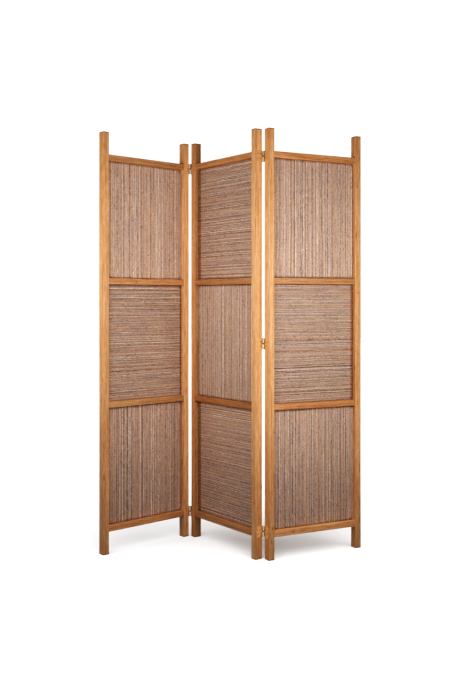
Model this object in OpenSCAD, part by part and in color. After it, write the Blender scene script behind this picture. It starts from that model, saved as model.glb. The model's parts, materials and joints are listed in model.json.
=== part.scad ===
// Folding room divider screen: three timber panels with woven strand mats,
// hinged together so that they stand in a zigzag and fold flat.
//
// Frame: +Z up, X along the standing screen from the left end to the right end,
// the front of the screen faces -Y. The origin is on the floor, at the centre
// of the box that the standing screen fills.

/* [Panels] */
// Height of the posts, which is the height of the screen
post_h = 1800; // [1200:10:2400]
// Width of one panel over its two posts
panel_w = 455; // [300:5:700]
// Height of post left free above the top rail
head_h = 95; // [60:5:200]
// Height of post left free below the bottom rail
foot_h = 95; // [60:5:200]

/* [Frame timber] */
// Width of a post, seen from the front
post_w = 28; // [22:1:60]
// Depth of a post, front to back
post_d = 35; // [30:1:70]
// Height of a rail
rail_h = 26; // [20:1:60]
// How far a rail stands back from each face of the posts
rail_inset = 0.6; // [0.2:0.1:3]
// Radius of the eased edges of posts and rails
arris_r = 1.4; // [0.5:0.1:3]
// Wood left in a post beyond the end of a tenon
tenon_wall = 11; // [10:1:14]
// Thickness of a tenon, front to back
tenon_t = 12; // [6:1:14]
// How much lower a tenon is than its rail, above and below
tenon_shoulder = 5; // [2:1:8]
// Glue gap between a tenon and its mortise, on each side
tenon_gap = 0.2; // [0.1:0.1:0.5]

/* [Mats and beads] */
// How far the mats stand back from the front of the posts
mat_recess = 17; // [8:0.5:18]
// Thickness of a mat
mat_t = 5; // [3:0.5:6]
// Gap left between a mat and the frame around it
mat_gap = 1; // [0.5:0.5:4]
// Width of the beads that hold the mats from behind
bead_w = 14; // [8:1:20]
// How far the beads stand in from the back of the posts
bead_inset = 2; // [1.5:0.5:4]
// Gap between the ends of two beads in a corner
bead_gap = 0.4; // [0.2:0.1:1]
// Radius of the nails that fix the beads
nail_r = 0.7; // [0.5:0.1:1]
// Length of those nails
nail_l = 22; // [18:1:26]
// Distance from a bead's end to its first nail
nail_end = 60; // [30:5:100]

/* [Hinges] */
// Height of a hinge
hinge_h = 46; // [36:1:80]
// Distance from each end of the posts to the middle of the outer hinges
hinge_end = 115; // [80:5:300]
// Thickness of a hinge leaf
leaf_t = 1.6; // [1:0.1:2.5]
// How far a leaf reaches across the side of its post
leaf_reach = 30; // [22:1:30]
// Outer radius of the knuckles
knuckle_r = 4; // [3.5:0.5:6]
// Radius of the hinge pins
pin_r = 2; // [1.5:0.1:2.5]
// Running clearance between a pin and a knuckle, on the radius
pin_clearance = 0.05; // [0.02:0.01:0.09]
// Gap between the upper and the lower knuckle
knuckle_gap = 0.4; // [0.3:0.1:1]
// Length of a hinge screw
screw_l = 10; // [7:0.5:10.5]
// Radius of a hinge screw's shank
screw_r = 1.5; // [1:0.1:2]
// Radius of a hinge screw's head
screw_head_r = 3; // [2.5:0.1:4]
// Distance between the screws of a leaf, front to back
screw_pitch_y = 16; // [10:1:18]
// Distance between the screws of a leaf, up and down
screw_pitch_z = 18; // [12:1:40]

/* [Standing pose] */
// Angle between the middle panel and the screen's length
middle_turn = 57.5; // [20:0.5:80]
// Turn at the left fold, where 0 is flat and 180 is folded shut
left_turn = 91.5; // [20:0.5:160]
// Turn at the right fold, where 0 is flat and 180 is folded shut
right_turn = 76; // [20:0.5:160]

/* [Hidden] */
$fn = 48;

wood = "#d9a066";
rail_wood = "#cf955c";
bead_wood = "#b98550";
fibre = "#a98a74";
brass = "#d8b878";
steel = "#b9b4aa";

over = 1;                 // how far a cutting shape runs past the face that it cuts
arris_steps = 3;          // flats that make up one eased edge

// Heights
fields = 3;
field_h = (post_h - head_h - foot_h - (fields + 1) * rail_h) / fields;
pitch_h = field_h + rail_h;
function rail_z(i) = foot_h + i * pitch_h;             // underside of rail i, from the bottom
function field_z(i) = rail_z(i) + rail_h;              // underside of field i, from the bottom

// Widths, and depths from the middle of the panel's thickness
inner_w = panel_w - 2 * post_w;
rail_d = post_d - 2 * rail_inset;
tenon_l = post_w - tenon_wall;
mortise_extra = 1;        // depth of a mortise past the end of its tenon
mat_front = -post_d / 2 + mat_recess;
mat_back = mat_front + mat_t;
bead_t = post_d / 2 - mat_back - bead_inset;

// Hinges. The knuckles just clear the posts, both across the fold and behind it.
fold_gap = 2 * knuckle_r;
pin_proud = knuckle_r;
bore_r = pin_r + pin_clearance;
pin_head_r = knuckle_r - 0.6;
pin_head_h = 1.2;
screw_y = pin_proud + leaf_reach / 2 + 1;              // middle of a leaf's screws
hinge_top = post_h - hinge_end;
hinge_middle = post_h / 2;
hinge_bottom = hinge_end;

// Where the panels stand. A panel's own origin is on the floor at its left end,
// in the middle of its thickness, and its X runs along it.
pin_y = post_d / 2 + pin_proud;
left_pin = [panel_w + fold_gap / 2, -pin_y];           // the left fold, in the left panel
middle_left_pin = [-fold_gap / 2, -pin_y];             // the left fold, in the middle panel
middle_right_pin = [panel_w + fold_gap / 2, pin_y];    // the right fold, in the middle panel
right_pin = [-fold_gap / 2, pin_y];                    // the right fold, in the right panel

middle_heading = -middle_turn;
left_heading = middle_heading + left_turn;
right_heading = middle_heading + right_turn;

function turned(a, p) = [cos(a) * p.x - sin(a) * p.y, sin(a) * p.x + cos(a) * p.y];
left_raw = turned(middle_heading, middle_left_pin) - turned(left_heading, left_pin);
right_raw = turned(middle_heading, middle_right_pin) - turned(right_heading, right_pin);

function arris_centres(start, heading) = [
    for (x = [arris_r, panel_w - arris_r], y = [arris_r - post_d / 2, post_d / 2 - arris_r])
        start + turned(heading, [x, y])
];
centres = concat(
    arris_centres(left_raw, left_heading),
    arris_centres([0, 0], middle_heading),
    arris_centres(right_raw, right_heading)
);
xs = [for (p = centres) p.x];
ys = [for (p = centres) p.y];
box_centre = [(min(xs) + max(xs)) / 2, (min(ys) + max(ys)) / 2];

module at_panel(start, heading)
    translate([start.x - box_centre.x, start.y - box_centre.y, 0])
    rotate([0, 0, heading])
    children();
module in_left() at_panel(left_raw, left_heading) children();
module in_middle() at_panel([0, 0], middle_heading) children();
module in_right() at_panel(right_raw, right_heading) children();

// ---- Timber ----

// A w by d rectangle about the origin, with each corner eased to a radius of arris_r
function eased_outline(w, d) = [
    for (corner = [0 : 3], step = [0 : arris_steps])
        let (
            a = 90 * corner + 90 * step / arris_steps,
            cx = (w / 2 - arris_r) * (corner == 0 || corner == 3 ? 1 : -1),
            cy = (d / 2 - arris_r) * (corner < 2 ? 1 : -1)
        )
        [cx + arris_r * cos(a), cy + arris_r * sin(a)]
];

// A block about the origin with all its edges eased
module eased_block(w, d, h)
    intersection() {
        translate([0, 0, -h / 2]) linear_extrude(h) polygon(eased_outline(w, d));
        rotate([90, 0, 0]) translate([0, 0, -d]) linear_extrude(2 * d) polygon(eased_outline(w, h));
        rotate([90, 0, 90]) translate([0, 0, -w]) linear_extrude(2 * w) polygon(eased_outline(d, h));
    }

// A post, with its mortises in the side that faces +X when side is 1, or -X when it is -1
module post(x, side)
    color(wood)
    translate([x + post_w / 2, 0, 0])
    difference() {
        translate([0, 0, post_h / 2]) eased_block(post_w, post_d, post_h);
        for (i = [0 : fields])
            translate([side * (post_w + over - tenon_l - mortise_extra) / 2, 0, rail_z(i) + rail_h / 2])
                cube([
                    tenon_l + mortise_extra + over,
                    tenon_t + 2 * tenon_gap,
                    rail_h - 2 * tenon_shoulder + 2 * tenon_gap
                ], center = true);
    }
module left_hand_post() post(0, 1);
module right_hand_post() post(panel_w - post_w, -1);

// Rail i, counted from the bottom, with a tenon at each end
module rail(i)
    color(rail_wood)
    translate([panel_w / 2, 0, rail_z(i) + rail_h / 2]) {
        rotate([90, 0, 90])
            translate([0, 0, -inner_w / 2])
            linear_extrude(inner_w)
            polygon(eased_outline(rail_d, rail_h));
        cube([inner_w + 2 * tenon_l, tenon_t, rail_h - 2 * tenon_shoulder], center = true);
    }

// ---- Mats and the beads behind them ----

module mat(i)
    color(fibre)
    translate([post_w + mat_gap, mat_front, field_z(i) + mat_gap])
    cube([inner_w - 2 * mat_gap, mat_t, field_h - 2 * mat_gap]);

// The four beads around field i: two upright, and two level ones between them
module beads(i)
    color(bead_wood)
    translate([post_w, mat_back, field_z(i)]) {
        for (x = [0, inner_w - bead_w])
            translate([x, 0, 0]) cube([bead_w, bead_t, field_h]);
        for (z = [0, field_h - bead_w])
            translate([bead_w + bead_gap, 0, z])
                cube([inner_w - 2 * (bead_w + bead_gap), bead_t, bead_w]);
    }

// A nail along +X, its head level with the origin
module nail() rotate([0, 90, 0]) {
    cylinder(h = nail_l, r = nail_r);
    cylinder(h = 0.6, r = 2 * nail_r);
}

// The nails of all the beads of a panel, driven into the posts and the rails
module bead_nails() {
    nail_y = mat_back + bead_t / 2;
    color(steel)
    for (i = [0 : fields - 1], share = [0 : 2]) {
        z = field_z(i) + nail_end + share * (field_h - 2 * nail_end) / 2;
        x = post_w + nail_end + share * (inner_w - 2 * nail_end) / 2;
        translate([post_w + bead_w, nail_y, z]) rotate([0, 0, 180]) nail();
        translate([panel_w - post_w - bead_w, nail_y, z]) nail();
        translate([x, nail_y, field_z(i) + bead_w]) rotate([0, 90, 0]) nail();
        translate([x, nail_y, field_z(i) + field_h - bead_w]) rotate([0, -90, 0]) nail();
    }
}

// ---- Hinges ----
// A hinge is drawn about its pin, with the two posts on the +Y side of the pin.
// Side 1 is the leaf on the +X post, side -1 the one on the -X post.

function knuckle_low(upper) = upper ? knuckle_gap / 2 : -hinge_h / 2;
knuckle_h = (hinge_h - knuckle_gap) / 2;

module leaf_screw_places()
    for (dy = [-1, 1], dz = [-1, 1])
        translate([0, screw_y + dy * screw_pitch_y / 2, dz * screw_pitch_z / 2])
            children();

// The leaf with the upper or the lower knuckle
module leaf(side, upper)
    color(brass)
    mirror([side == 1 ? 1 : 0, 0, 0])
    difference() {
        union() {
            translate([-knuckle_r, pin_proud, -hinge_h / 2])
                cube([leaf_t, leaf_reach, hinge_h]);
            translate([-knuckle_r, 0, knuckle_low(upper)])
                cube([leaf_t, pin_proud + over, knuckle_h]);
            translate([0, 0, knuckle_low(upper)])
                cylinder(h = knuckle_h, r = knuckle_r);
        }
        translate([0, 0, -hinge_h]) cylinder(h = 2 * hinge_h, r = bore_r);
        leaf_screw_places() {
            translate([-knuckle_r - over, 0, 0])
                rotate([0, 90, 0])
                cylinder(h = leaf_t + over, r = screw_r);
            translate([-knuckle_r, 0, 0])
                rotate([0, 90, 0])
                cylinder(h = leaf_t, r1 = screw_r, r2 = screw_head_r);
        }
    }

module hinge_pin()
    color(brass)
    union() {
        translate([0, 0, -hinge_h / 2]) cylinder(h = hinge_h, r = pin_r);
        translate([0, 0, hinge_h / 2]) cylinder(h = pin_head_h, r = pin_head_r);
    }

// The four screws of one leaf
module leaf_screws(side)
    color(steel)
    mirror([side == 1 ? 1 : 0, 0, 0])
    leaf_screw_places()
    translate([leaf_t - knuckle_r, 0, 0])
    rotate([0, -90, 0])
    difference() {
        union() {
            cylinder(h = leaf_t, r1 = screw_head_r, r2 = screw_r);
            cylinder(h = screw_l, r = screw_r);
        }
        for (a = [0, 90])
            rotate([0, 0, a]) cube([0.7 * screw_head_r * 2, 0.7, 1.6], center = true);
    }

// The left fold's pins stand in front of the posts
module at_left_fold(pin, z) translate([pin.x, pin.y, z]) children();
// The right fold's pins stand behind the posts, so a hinge there is turned round
module at_right_fold(pin, z) translate([pin.x, pin.y, z]) rotate([0, 0, 180]) children();

module left_panel_leaf(z) in_left() at_left_fold(left_pin, z) leaf(-1, false);
module middle_panel_left_leaf(z) in_middle() at_left_fold(middle_left_pin, z) leaf(1, true);
module middle_panel_right_leaf(z) in_middle() at_right_fold(middle_right_pin, z) leaf(1, true);
module right_panel_leaf(z) in_right() at_right_fold(right_pin, z) leaf(-1, false);
module left_fold_pin(z) in_middle() at_left_fold(middle_left_pin, z) hinge_pin();
module right_fold_pin(z) in_middle() at_right_fold(middle_right_pin, z) hinge_pin();

left_fold_hinges = [hinge_top, hinge_bottom];
right_fold_hinges = [hinge_top, hinge_middle, hinge_bottom];

// ---- The pieces ----

module left_outer_post() in_left() left_hand_post();
module left_inner_post() in_left() right_hand_post();
module left_top_rail() in_left() rail(3);
module left_upper_rail() in_left() rail(2);
module left_lower_rail() in_left() rail(1);
module left_bottom_rail() in_left() rail(0);
module left_top_mat() in_left() mat(2);
module left_centre_mat() in_left() mat(1);
module left_bottom_mat() in_left() mat(0);
module left_top_beads() in_left() beads(2);
module left_centre_beads() in_left() beads(1);
module left_bottom_beads() in_left() beads(0);
module left_bead_nails() in_left() bead_nails();

module middle_left_post() in_middle() left_hand_post();
module middle_right_post() in_middle() right_hand_post();
module middle_top_rail() in_middle() rail(3);
module middle_upper_rail() in_middle() rail(2);
module middle_lower_rail() in_middle() rail(1);
module middle_bottom_rail() in_middle() rail(0);
module middle_top_mat() in_middle() mat(2);
module middle_centre_mat() in_middle() mat(1);
module middle_bottom_mat() in_middle() mat(0);
module middle_top_beads() in_middle() beads(2);
module middle_centre_beads() in_middle() beads(1);
module middle_bottom_beads() in_middle() beads(0);
module middle_bead_nails() in_middle() bead_nails();

module right_inner_post() in_right() left_hand_post();
module right_outer_post() in_right() right_hand_post();
module right_top_rail() in_right() rail(3);
module right_upper_rail() in_right() rail(2);
module right_lower_rail() in_right() rail(1);
module right_bottom_rail() in_right() rail(0);
module right_top_mat() in_right() mat(2);
module right_centre_mat() in_right() mat(1);
module right_bottom_mat() in_right() mat(0);
module right_top_beads() in_right() beads(2);
module right_centre_beads() in_right() beads(1);
module right_bottom_beads() in_right() beads(0);
module right_bead_nails() in_right() bead_nails();

module left_fold_top_left_leaf() left_panel_leaf(hinge_top);
module left_fold_top_right_leaf() middle_panel_left_leaf(hinge_top);
module left_fold_top_pin() left_fold_pin(hinge_top);
module left_fold_bottom_left_leaf() left_panel_leaf(hinge_bottom);
module left_fold_bottom_right_leaf() middle_panel_left_leaf(hinge_bottom);
module left_fold_bottom_pin() left_fold_pin(hinge_bottom);
module right_fold_top_left_leaf() middle_panel_right_leaf(hinge_top);
module right_fold_top_right_leaf() right_panel_leaf(hinge_top);
module right_fold_top_pin() right_fold_pin(hinge_top);
module right_fold_middle_left_leaf() middle_panel_right_leaf(hinge_middle);
module right_fold_middle_right_leaf() right_panel_leaf(hinge_middle);
module right_fold_middle_pin() right_fold_pin(hinge_middle);
module right_fold_bottom_left_leaf() middle_panel_right_leaf(hinge_bottom);
module right_fold_bottom_right_leaf() right_panel_leaf(hinge_bottom);
module right_fold_bottom_pin() right_fold_pin(hinge_bottom);

module left_fold_left_screws()
    for (z = left_fold_hinges)
        in_left() at_left_fold(left_pin, z) leaf_screws(-1);
module left_fold_right_screws()
    for (z = left_fold_hinges)
        in_middle() at_left_fold(middle_left_pin, z) leaf_screws(1);
module right_fold_left_screws()
    for (z = right_fold_hinges)
        in_middle() at_right_fold(middle_right_pin, z) leaf_screws(1);
module right_fold_right_screws()
    for (z = right_fold_hinges)
        in_right() at_right_fold(right_pin, z) leaf_screws(-1);

left_outer_post();
left_inner_post();
left_top_rail();
left_upper_rail();
left_lower_rail();
left_bottom_rail();
left_top_mat();
left_centre_mat();
left_bottom_mat();
left_top_beads();
left_centre_beads();
left_bottom_beads();
left_bead_nails();
middle_left_post();
middle_right_post();
middle_top_rail();
middle_upper_rail();
middle_lower_rail();
middle_bottom_rail();
middle_top_mat();
middle_centre_mat();
middle_bottom_mat();
middle_top_beads();
middle_centre_beads();
middle_bottom_beads();
middle_bead_nails();
right_inner_post();
right_outer_post();
right_top_rail();
right_upper_rail();
right_lower_rail();
right_bottom_rail();
right_top_mat();
right_centre_mat();
right_bottom_mat();
right_top_beads();
right_centre_beads();
right_bottom_beads();
right_bead_nails();
left_fold_top_left_leaf();
left_fold_top_right_leaf();
left_fold_top_pin();
left_fold_bottom_left_leaf();
left_fold_bottom_right_leaf();
left_fold_bottom_pin();
right_fold_top_left_leaf();
right_fold_top_right_leaf();
right_fold_top_pin();
right_fold_middle_left_leaf();
right_fold_middle_right_leaf();
right_fold_middle_pin();
right_fold_bottom_left_leaf();
right_fold_bottom_right_leaf();
right_fold_bottom_pin();
left_fold_left_screws();
left_fold_right_screws();
right_fold_left_screws();
right_fold_right_screws();
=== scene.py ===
# %% [markdown]
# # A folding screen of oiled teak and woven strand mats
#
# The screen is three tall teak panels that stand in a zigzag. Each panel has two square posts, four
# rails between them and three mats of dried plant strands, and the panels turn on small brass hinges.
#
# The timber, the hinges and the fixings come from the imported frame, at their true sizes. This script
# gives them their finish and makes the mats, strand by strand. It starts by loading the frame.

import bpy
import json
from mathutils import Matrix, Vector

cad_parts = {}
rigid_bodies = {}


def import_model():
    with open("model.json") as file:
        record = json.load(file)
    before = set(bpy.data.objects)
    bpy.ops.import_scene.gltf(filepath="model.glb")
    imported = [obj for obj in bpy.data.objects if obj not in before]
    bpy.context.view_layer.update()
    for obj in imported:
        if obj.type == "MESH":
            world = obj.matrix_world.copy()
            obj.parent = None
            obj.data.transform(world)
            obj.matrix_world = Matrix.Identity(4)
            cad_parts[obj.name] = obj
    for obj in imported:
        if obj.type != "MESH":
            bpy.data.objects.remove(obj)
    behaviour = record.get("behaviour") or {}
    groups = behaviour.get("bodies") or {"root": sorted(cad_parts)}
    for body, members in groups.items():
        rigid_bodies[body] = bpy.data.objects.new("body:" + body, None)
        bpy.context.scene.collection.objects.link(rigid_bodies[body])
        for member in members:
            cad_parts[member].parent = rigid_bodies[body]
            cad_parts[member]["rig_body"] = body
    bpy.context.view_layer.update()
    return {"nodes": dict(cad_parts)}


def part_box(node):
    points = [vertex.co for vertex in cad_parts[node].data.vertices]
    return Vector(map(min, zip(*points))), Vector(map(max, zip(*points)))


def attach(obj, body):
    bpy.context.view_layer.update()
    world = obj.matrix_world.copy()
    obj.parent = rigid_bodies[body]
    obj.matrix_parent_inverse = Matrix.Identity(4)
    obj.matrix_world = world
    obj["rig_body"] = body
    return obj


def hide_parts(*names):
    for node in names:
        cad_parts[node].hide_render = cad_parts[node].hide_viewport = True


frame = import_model()

# %% [markdown]
# ## Tools
#
# A maker's sizes are in millimetres and Blender's are in metres, so one number turns the first into the
# second. All random draws come from one seeded source, because the screen has to come out the same each
# time that the lesson is run.

# %% Tools for the rest of the lesson
import json
import math

import bmesh
import bpy
import numpy as np
from mathutils import Matrix, Vector

MM = 0.001
scene = bpy.context.scene
chance = np.random.default_rng(27)


def link_to_scene(name, data):
    """A new object at the origin that holds the data."""
    made = bpy.data.objects.new(name, data)
    scene.collection.objects.link(made)
    return made


print("one millimetre is", MM, "m")

# %% [markdown]
# ## The camera
#
# The screen is seen from standing height by a level camera a little to its left. A level camera keeps
# every post upright in the picture, and a small lens shift, as on an architect's camera, lowers the
# view without tilting it. Tilting the camera would be simpler, but the posts would lean.

# %% Place the camera
EYE_HEIGHT = 1.0794
EYE_PLACE = (-0.4003, -3.6279)
EYE_TURN = 6.28
LENS = 43.37
LENS_SHIFT = -0.0637
SENSOR, FAR_ENOUGH = 36, 60

lens = bpy.data.cameras.new("studio_camera")
lens.sensor_width = SENSOR
lens.lens = LENS
lens.shift_y = LENS_SHIFT
lens.clip_end = FAR_ENOUGH
camera = link_to_scene("studio_camera", lens)
camera.location = (*EYE_PLACE, EYE_HEIGHT)
camera.rotation_euler = (math.radians(90), 0, math.radians(-EYE_TURN))
scene.camera = camera
print("camera", round(camera.location.xy.length, 2), "m away, eye at", EYE_HEIGHT, "m")

# %% [markdown]
# ## Where each panel stands
#
# A panel is easiest to work on in its own space: X along the panel from its middle, Y from front to
# back, Z up from the floor. The two posts give that space, because their middles lie on the panel's
# own line. The matrix that is found here turns panel space into the room, and back again.

# %% Find each panel's own space
PANELS = {
    "left": ("panel_left", "left_outer_post", "left_inner_post"),
    "middle": ("panel_middle", "middle_left_post", "middle_right_post"),
    "right": ("panel_right", "right_inner_post", "right_outer_post"),
}
FIELDS = ("top", "centre", "bottom")


def middle_of(node):
    low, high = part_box(node)
    return (low + high) / 2


def panel_space(left_post, right_post):
    start, end = middle_of(left_post), middle_of(right_post)
    heading = math.atan2(end.y - start.y, end.x - start.x)
    centre = (start + end) / 2
    return Matrix.Translation((centre.x, centre.y, 0)) @ Matrix.Rotation(heading, 4, "Z")


spaces = {name: panel_space(*row[1:]) for name, row in PANELS.items()}


def box_in_panel(panel, node):
    """Lowest and highest corner of a node in its panel's own space."""
    back = spaces[panel].inverted()
    points = [back @ vertex.co for vertex in frame["nodes"][node].data.vertices]
    low = Vector(min(point[i] for point in points) for i in range(3))
    high = Vector(max(point[i] for point in points) for i in range(3))
    return low, high


for name, space in spaces.items():
    print(name, "panel turned", round(math.degrees(space.to_euler().z), 1), "degrees")

# %% [markdown]
# ## Small helpers for node trees
#
# Every finish, and the mats themselves, are trees of nodes. These helpers add a node and fill its
# sockets in one call, so that a tree reads from top to bottom like a recipe.

# %% Helpers that add nodes
COLOUR_A, COLOUR_B, COLOUR_OUT = 6, 7, 2


def fill(tree, node, sockets):
    """Gives sockets plain values, or links the outputs of other nodes to them."""
    for key, value in sockets.items():
        if isinstance(value, bpy.types.NodeSocket):
            tree.links.new(value, node.inputs[key])
        else:
            node.inputs[key].default_value = value


def put(tree, kind, sockets=None, **settings):
    """Adds a node and fills its sockets."""
    node = tree.nodes.new(kind)
    for key, value in settings.items():
        setattr(node, key, value)
    fill(tree, node, sockets or {})
    return node


def sum_of(tree, operation, a, b=0.0, clamp=False):
    """A Math node's result."""
    return put(tree, "ShaderNodeMath", {0: a, 1: b}, operation=operation, use_clamp=clamp).outputs[0]


def vector_of(tree, x=0.0, y=0.0, z=0.0):
    return put(tree, "ShaderNodeCombineXYZ", {0: x, 1: y, 2: z}).outputs[0]


def stretched(tree, vector, scale):
    """The vector with each axis scaled."""
    return put(tree, "ShaderNodeMapping", {"Vector": vector, "Scale": scale}).outputs[0]


def vector_math(tree, operation, a, b=(0, 0, 0)):
    """A Vector Math node, on one vector or two."""
    return put(tree, "ShaderNodeVectorMath", {0: a, 1: b}, operation=operation)


def noise(tree, vector, scale=1.0, detail=2.0, roughness=0.5, w=None):
    """A noise value from 0 to 1. With w, each w has a pattern of its own."""
    sockets = {"Vector": vector, "Scale": scale, "Detail": detail, "Roughness": roughness}
    if w is not None:
        sockets["W"] = w
    dimensions = "3D" if w is None else "4D"
    return put(tree, "ShaderNodeTexNoise", sockets, noise_dimensions=dimensions).outputs[0]


def spread(tree, value, low, high, to_low=0.0, to_high=1.0):
    """The value's stretch from low to high, as a stretch from to_low to to_high."""
    sockets = {0: value, 1: low, 2: high, 3: to_low, 4: to_high}
    return put(tree, "ShaderNodeMapRange", sockets, clamp=True).outputs[0]


def blended(tree, share, a, b, blend="MIX"):
    """Two colours mixed."""
    sockets = {0: share, COLOUR_A: a, COLOUR_B: b}
    return put(tree, "ShaderNodeMix", sockets, data_type="RGBA", blend_type=blend).outputs[COLOUR_OUT]


def graded(tree, value, stops):
    """A colour ramp's colour. Each stop is a place and a colour."""
    ramp = put(tree, "ShaderNodeValToRGB", {0: value})
    elements = ramp.color_ramp.elements
    while len(elements) < len(stops):
        elements.new(0.5)
    for element, (place, colour) in zip(elements, stops):
        element.position = place
        element.color = (*colour, 1)
    return ramp.outputs[0]


def own(tree, name, output="Fac"):
    """A named attribute of the piece."""
    return put(tree, "ShaderNodeAttribute", attribute_name=name).outputs[output]


def bumped(tree, height, strength, distance):
    """The direction of a surface that the height lifts by a hair."""
    sockets = {"Strength": strength, "Distance": distance, "Height": height}
    return put(tree, "ShaderNodeBump", sockets).outputs[0]


def new_finish(name):
    """A material with an empty Principled surface: its tree and that shader."""
    material = bpy.data.materials.new(name)
    material.use_nodes = True
    return material, material.node_tree, material.node_tree.nodes["Principled BSDF"]


print("helpers ready")

# %% [markdown]
# ## Teak, as a solid
#
# Teak has growth rings a few millimetres apart round the heart of the log, fine fibres and open pores
# along it, and slow changes of tone. A picture wrapped round a post would show the same face on every
# side. Here the wood is solid instead: each board carries the coordinates of the place that it was
# sawn from, with Z along the log, so rings run through from face to face and show on the end grain.
# The pattern of the wood is one group, which every timber finish shares.

# %% The growth pattern of teak
RING_GAP = 5.5 * MM
RING_WANDER = 16 * MM
# For each part of the pattern: how often it repeats in a metre, across and along, then detail, roughness.
GRAIN = {
    "Fibres": ((420, 420, 9), 4, 0.65),
    "Streaks": ((150, 150, 5), 3, 0.6),
    "Flecks": ((330, 330, 26), 3, 0.65),
    "Clouds": ((55, 55, 2.2), 3, 0.6),
}
WANDER_SCALE, PORE_SCALE, PIN_KNOT_SCALE = (9, 9, 1.6), (1500, 1500, 70), (30, 30, 5)


def growth_rings(tree, place):
    """From 0 to 1 across each ring. The late wood darkens slowly and the next ring starts pale."""
    wander = noise(tree, stretched(tree, place, WANDER_SCALE), detail=2)
    x, y, _ = put(tree, "ShaderNodeSeparateXYZ", {0: place}).outputs
    radius = vector_math(tree, "LENGTH", vector_of(tree, x, y)).outputs["Value"]
    bent = sum_of(tree, "ADD", radius, sum_of(tree, "MULTIPLY", wander, RING_WANDER))
    within = sum_of(tree, "FRACT", sum_of(tree, "DIVIDE", bent, RING_GAP))
    late = sum_of(tree, "POWER", within, 2.5)
    early = spread(tree, within, 0.0, 0.12, 1.0, 0.0)
    return sum_of(tree, "MAXIMUM", late, early)


def teak_pattern():
    group = bpy.data.node_groups.new("teak_pattern", "ShaderNodeTree")
    group.interface.new_socket("Place in log", in_out="INPUT", socket_type="NodeSocketVector")
    place = put(group, "NodeGroupInput").outputs["Place in log"]
    parts = {"Rings": growth_rings(group, place)}
    for name, (scale, detail, roughness) in GRAIN.items():
        parts[name] = noise(group, stretched(group, place, scale), detail=detail, roughness=roughness)
    parts["Pores"] = spread(group, noise(group, stretched(group, place, PORE_SCALE), detail=2), 0.56, 0.68)
    cells = {"Vector": stretched(group, place, PIN_KNOT_SCALE), "Scale": 1.0}
    specks = put(group, "ShaderNodeTexVoronoi", cells).outputs["Distance"]
    parts["Knots"] = spread(group, specks, 0.05, 0.10, 1.0, 0.0)
    for name in parts:
        group.interface.new_socket(name, in_out="OUTPUT", socket_type="NodeSocketFloat")
    put(group, "NodeGroupOutput", parts)
    return group


TEAK = teak_pattern()
print("teak pattern has", len(TEAK.nodes), "nodes, rings", RING_GAP / MM, "mm apart")

# %% [markdown]
# ## Oiled teak
#
# Oil turns teak honey-coloured and leaves a low satin shine. The finish mixes a pale and a dark tone
# by the growth pattern, then lets each board be a little lighter or darker than the next, partly as
# boards from different logs are and partly as painted light and shade, set for each board.
# Worn, eased edges soak up more oil, so they are a touch deeper in colour.
# The pores and the fibres also lift the surface by a hair, which breaks up the shine.

# %% Make the timber finishes
# What each part of the pattern adds to the tone: from where it counts, and the least and the most it adds.
GRAIN_SHARES = {
    "Fibres": (0.36, 0.0, 0.38),
    "Streaks": (0.36, 0.0, 0.42),
    "Clouds": (0.34, 0.0, 0.36),
    "Flecks": (0.36, -0.26, 0.26),
}
RING_SHARE, PORE_SHARE, PIN_KNOT_SHARE = 0.22, 0.4, 0.75
DARKER, WORN = 0.40, 0.72


def edge_distances(tree):
    """How far a point on a board is from its nearest long edge, and from its nearest end."""
    place = vector_math(tree, "ABSOLUTE", own(tree, "in_board", "Vector")).outputs[0]
    inside = vector_math(tree, "SUBTRACT", own(tree, "half_board", "Vector"), place).outputs[0]
    thin, broad, long = put(tree, "ShaderNodeSeparateXYZ", {0: inside}).outputs
    return sum_of(tree, "MAXIMUM", thin, broad), long


def with_knot(tree, colour, flecks, deep, dark):
    """The board's knot: a dark heart in a brown eye, longer along the board."""
    apart = vector_math(tree, "SUBTRACT", own(tree, "in_board", "Vector"), own(tree, "knot", "Vector"))
    ring = vector_math(tree, "LENGTH", stretched(tree, apart.outputs[0], (1, 1, 0.5))).outputs["Value"]
    ragged = sum_of(tree, "ADD", ring, spread(tree, flecks, 0.3, 0.7, -1.2 * MM, 1.2 * MM))
    colour = blended(tree, spread(tree, ragged, 1.5 * MM, 7 * MM, 0.55, 0.0), colour, (*deep, 1))
    return blended(tree, spread(tree, ragged, 0.8 * MM, 2.4 * MM, 0.85, 0.0), colour, dark)


def with_worn_edges(tree, colour, streaks, deep):
    """Edges that have soaked up more oil, and ends that have soaked up most."""
    to_arris, to_end = edge_distances(tree)
    worn = spread(tree, streaks, 0.4, 0.6, 0.1, 0.45)
    edge = sum_of(tree, "MULTIPLY", spread(tree, to_arris, 0.3 * MM, 1.8 * MM, 1.0, 0.0), worn)
    edge = sum_of(tree, "MAXIMUM", edge, spread(tree, to_end, 2 * MM, 7 * MM, 0.9, 0.0))
    return blended(tree, edge, colour, (*(WORN * c for c in deep), 1))


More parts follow.
